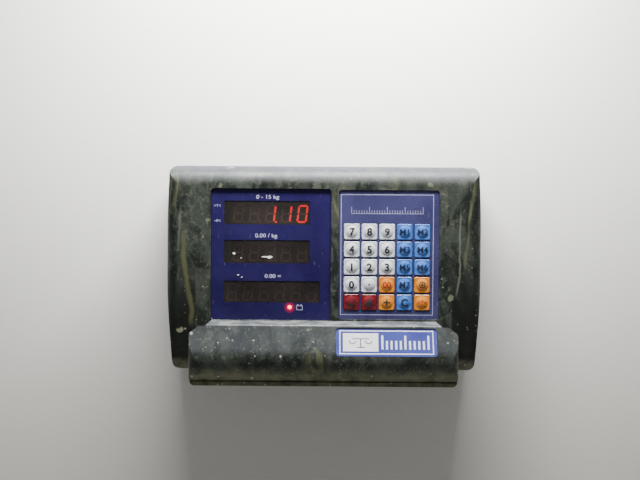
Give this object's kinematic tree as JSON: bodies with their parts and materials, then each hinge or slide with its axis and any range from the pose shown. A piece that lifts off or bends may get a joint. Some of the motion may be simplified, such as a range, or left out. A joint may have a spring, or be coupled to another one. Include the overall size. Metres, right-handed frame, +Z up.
{
  "type": "price-computing scale indicator",
  "caption": "Wall-hung price-computing scale indicator: rounded housing with a front roll, three LED windows and a block of domed keys.",
  "frame": {"origin": "middle of the housing's back, on the wall plane", "axes": "+Z up, +Y into the wall, +X to the right for someone facing the display"},
  "size_m": [0.258, 0.0801, 0.173],
  "materials": {
    "housing": "gloss, marbled dark grey-green",
    "back_plastic": "fine-textured, dark grey",
    "panel_blue": "printed film, deep blue",
    "smoked_window": "smoked acrylic",
    "digit_black": "matt black face",
    "board_green": "solder-masked laminate",
    "lamp_red": "clear red lamp",
    "keypad_blue": "printed film, deep blue",
    "key_white": "printed white key",
    "key_blue": "printed light blue key",
    "key_orange": "printed orange key",
    "key_red": "printed red key",
    "switch_black": "moulded black",
    "plate_blue": "printed plate",
    "chip_black": "moulded black",
    "header_cream": "moulded cream",
    "ribbon_grey": "flat grey cable",
    "battery_case": "moulded dark grey",
    "terminal_brass": "tinned tab",
    "strap_metal": "bent sheet",
    "lead_rubber": "insulated wire",
    "gland_black": "moulded nylon",
    "jack_black": "moulded black",
    "screw_steel": "zinc-plated"
  },
  "bodies": {
    "housing": {"battery": "battery_case", "battery_leads": "lead_rubber", "battery_strap": "strap_metal", "battery_terminals": "terminal_brass", "board_headers": "header_cream", "board_screws": "screw_steel", "buzzer": "chip_black", "cable_gland": "gland_black", "cover_screws": "screw_steel", "display_board": "board_green", "display_filter": "smoked_window", "display_overlay": "panel_blue", "display_ribbon": "ribbon_grey", "front_shell": "housing", "gland_nut": "gland_black", "key_board": "board_green", "key_switches": "switch_black", "keypad_panel": "keypad_blue", "keypad_ribbon": "ribbon_grey", "main_board": "board_green", "mass_digits": "digit_black", "nameplate": "plate_blue", "power_jack": "jack_black", "price_digits": "digit_black", "processor_chip": "chip_black", "rear_cover": "back_plastic", "status_lamp": "lamp_red", "total_digits": "digit_black"},
    "key_0_cap": {"key_0": "key_white"},
    "key_1_cap": {"key_1": "key_white"},
    "key_2_cap": {"key_2": "key_white"},
    "key_3_cap": {"key_3": "key_white"},
    "key_4_cap": {"key_4": "key_white"},
    "key_5_cap": {"key_5": "key_white"},
    "key_6_cap": {"key_6": "key_white"},
    "key_7_cap": {"key_7": "key_white"},
    "key_8_cap": {"key_8": "key_white"},
    "key_9_cap": {"key_9": "key_white"},
    "key_change_cap": {"key_change": "key_orange"},
    "key_clear_cap": {"key_clear": "key_blue"},
    "key_hold_cap": {"key_hold": "key_orange"},
    "key_memory_1_cap": {"key_memory_1": "key_blue"},
    "key_memory_2_cap": {"key_memory_2": "key_blue"},
    "key_memory_3_cap": {"key_memory_3": "key_blue"},
    "key_memory_4_cap": {"key_memory_4": "key_blue"},
    "key_memory_5_cap": {"key_memory_5": "key_blue"},
    "key_memory_6_cap": {"key_memory_6": "key_blue"},
    "key_memory_7_cap": {"key_memory_7": "key_blue"},
    "key_plus_cap": {"key_plus": "key_orange"},
    "key_point_cap": {"key_point": "key_white"},
    "key_power_cap": {"key_power": "key_red"},
    "key_print_cap": {"key_print": "key_red"},
    "key_tare_cap": {"key_tare": "key_orange"}
  },
  "joints": [
    {"name": "key_0_press", "type": "slide", "parent": "housing", "child": "key_0_cap", "axis": [0, 1, 0], "range_m": [0, 0.0006], "stiffness_N_per_m": 800},
    {"name": "key_1_press", "type": "slide", "parent": "housing", "child": "key_1_cap", "axis": [0, 1, 0], "range_m": [0, 0.0006], "stiffness_N_per_m": 800},
    {"name": "key_2_press", "type": "slide", "parent": "housing", "child": "key_2_cap", "axis": [0, 1, 0], "range_m": [0, 0.0006], "stiffness_N_per_m": 800},
    {"name": "key_3_press", "type": "slide", "parent": "housing", "child": "key_3_cap", "axis": [0, 1, 0], "range_m": [0, 0.0006], "stiffness_N_per_m": 800},
    {"name": "key_4_press", "type": "slide", "parent": "housing", "child": "key_4_cap", "axis": [0, 1, 0], "range_m": [0, 0.0006], "stiffness_N_per_m": 800},
    {"name": "key_5_press", "type": "slide", "parent": "housing", "child": "key_5_cap", "axis": [0, 1, 0], "range_m": [0, 0.0006], "stiffness_N_per_m": 800},
    {"name": "key_6_press", "type": "slide", "parent": "housing", "child": "key_6_cap", "axis": [0, 1, 0], "range_m": [0, 0.0006], "stiffness_N_per_m": 800},
    {"name": "key_7_press", "type": "slide", "parent": "housing", "child": "key_7_cap", "axis": [0, 1, 0], "range_m": [0, 0.0006], "stiffness_N_per_m": 800},
    {"name": "key_8_press", "type": "slide", "parent": "housing", "child": "key_8_cap", "axis": [0, 1, 0], "range_m": [0, 0.0006], "stiffness_N_per_m": 800},
    {"name": "key_9_press", "type": "slide", "parent": "housing", "child": "key_9_cap", "axis": [0, 1, 0], "range_m": [0, 0.0006], "stiffness_N_per_m": 800},
    {"name": "key_change_press", "type": "slide", "parent": "housing", "child": "key_change_cap", "axis": [0, 1, 0], "range_m": [0, 0.0006], "stiffness_N_per_m": 800},
    {"name": "key_clear_press", "type": "slide", "parent": "housing", "child": "key_clear_cap", "axis": [0, 1, 0], "range_m": [0, 0.0006], "stiffness_N_per_m": 800},
    {"name": "key_hold_press", "type": "slide", "parent": "housing", "child": "key_hold_cap", "axis": [0, 1, 0], "range_m": [0, 0.0006], "stiffness_N_per_m": 800},
    {"name": "key_memory_1_press", "type": "slide", "parent": "housing", "child": "key_memory_1_cap", "axis": [0, 1, 0], "range_m": [0, 0.0006], "stiffness_N_per_m": 800},
    {"name": "key_memory_2_press", "type": "slide", "parent": "housing", "child": "key_memory_2_cap", "axis": [0, 1, 0], "range_m": [0, 0.0006], "stiffness_N_per_m": 800},
    {"name": "key_memory_3_press", "type": "slide", "parent": "housing", "child": "key_memory_3_cap", "axis": [0, 1, 0], "range_m": [0, 0.0006], "stiffness_N_per_m": 800},
    {"name": "key_memory_4_press", "type": "slide", "parent": "housing", "child": "key_memory_4_cap", "axis": [0, 1, 0], "range_m": [0, 0.0006], "stiffness_N_per_m": 800},
    {"name": "key_memory_5_press", "type": "slide", "parent": "housing", "child": "key_memory_5_cap", "axis": [0, 1, 0], "range_m": [0, 0.0006], "stiffness_N_per_m": 800},
    {"name": "key_memory_6_press", "type": "slide", "parent": "housing", "child": "key_memory_6_cap", "axis": [0, 1, 0], "range_m": [0, 0.0006], "stiffness_N_per_m": 800},
    {"name": "key_memory_7_press", "type": "slide", "parent": "housing", "child": "key_memory_7_cap", "axis": [0, 1, 0], "range_m": [0, 0.0006], "stiffness_N_per_m": 800},
    {"name": "key_plus_press", "type": "slide", "parent": "housing", "child": "key_plus_cap", "axis": [0, 1, 0], "range_m": [0, 0.0006], "stiffness_N_per_m": 800},
    {"name": "key_point_press", "type": "slide", "parent": "housing", "child": "key_point_cap", "axis": [0, 1, 0], "range_m": [0, 0.0006], "stiffness_N_per_m": 800},
    {"name": "key_power_press", "type": "slide", "parent": "housing", "child": "key_power_cap", "axis": [0, 1, 0], "range_m": [0, 0.0006], "stiffness_N_per_m": 800},
    {"name": "key_print_press", "type": "slide", "parent": "housing", "child": "key_print_cap", "axis": [0, 1, 0], "range_m": [0, 0.0006], "stiffness_N_per_m": 800},
    {"name": "key_tare_press", "type": "slide", "parent": "housing", "child": "key_tare_cap", "axis": [0, 1, 0], "range_m": [0, 0.0006], "stiffness_N_per_m": 800}
  ]
}
